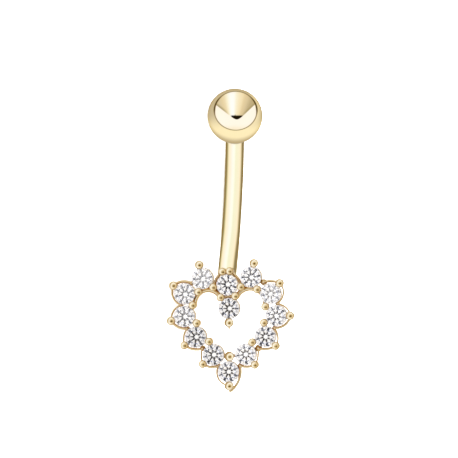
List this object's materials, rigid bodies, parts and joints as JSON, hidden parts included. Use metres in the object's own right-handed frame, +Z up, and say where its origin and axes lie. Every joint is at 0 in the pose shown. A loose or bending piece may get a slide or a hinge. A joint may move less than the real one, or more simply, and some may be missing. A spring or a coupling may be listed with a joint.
{
  "type": "navel ring",
  "caption": "Navel ring: a bent bar with a screw-on ball above and an open heart of prong-set round clear stones below, lying face up.",
  "frame": {"origin": "middle of the bounding box, on the surface that the ring lies on", "axes": "+Y from the point of the heart towards the ball, +Z up from the surface, +X across the ring; the right edge of the heart is raised and its face looks up and towards -X"},
  "size_m": [0.0088, 0.0261, 0.0084],
  "materials": {
    "gold": "mirror-polished pale yellow gold",
    "stone": "clear faceted stone with polished facets"
  },
  "bodies": {
    "ring": {"bar_and_setting": "gold", "stone_1": "stone", "stone_2": "stone", "stone_3": "stone", "stone_4": "stone", "stone_5": "stone", "stone_6": "stone", "stone_7": "stone", "stone_8": "stone", "stone_9": "stone", "stone_10": "stone", "stone_11": "stone", "stone_12": "stone", "stone_13": "stone"},
    "ball": {"ball": "gold"}
  },
  "joints": [
    {"name": "ball_unscrew", "type": "slide", "parent": "ring", "child": "ball", "axis": [-0.2828, 0.9025, 0.3249], "range_m": [0, 0.0028]}
  ]
}
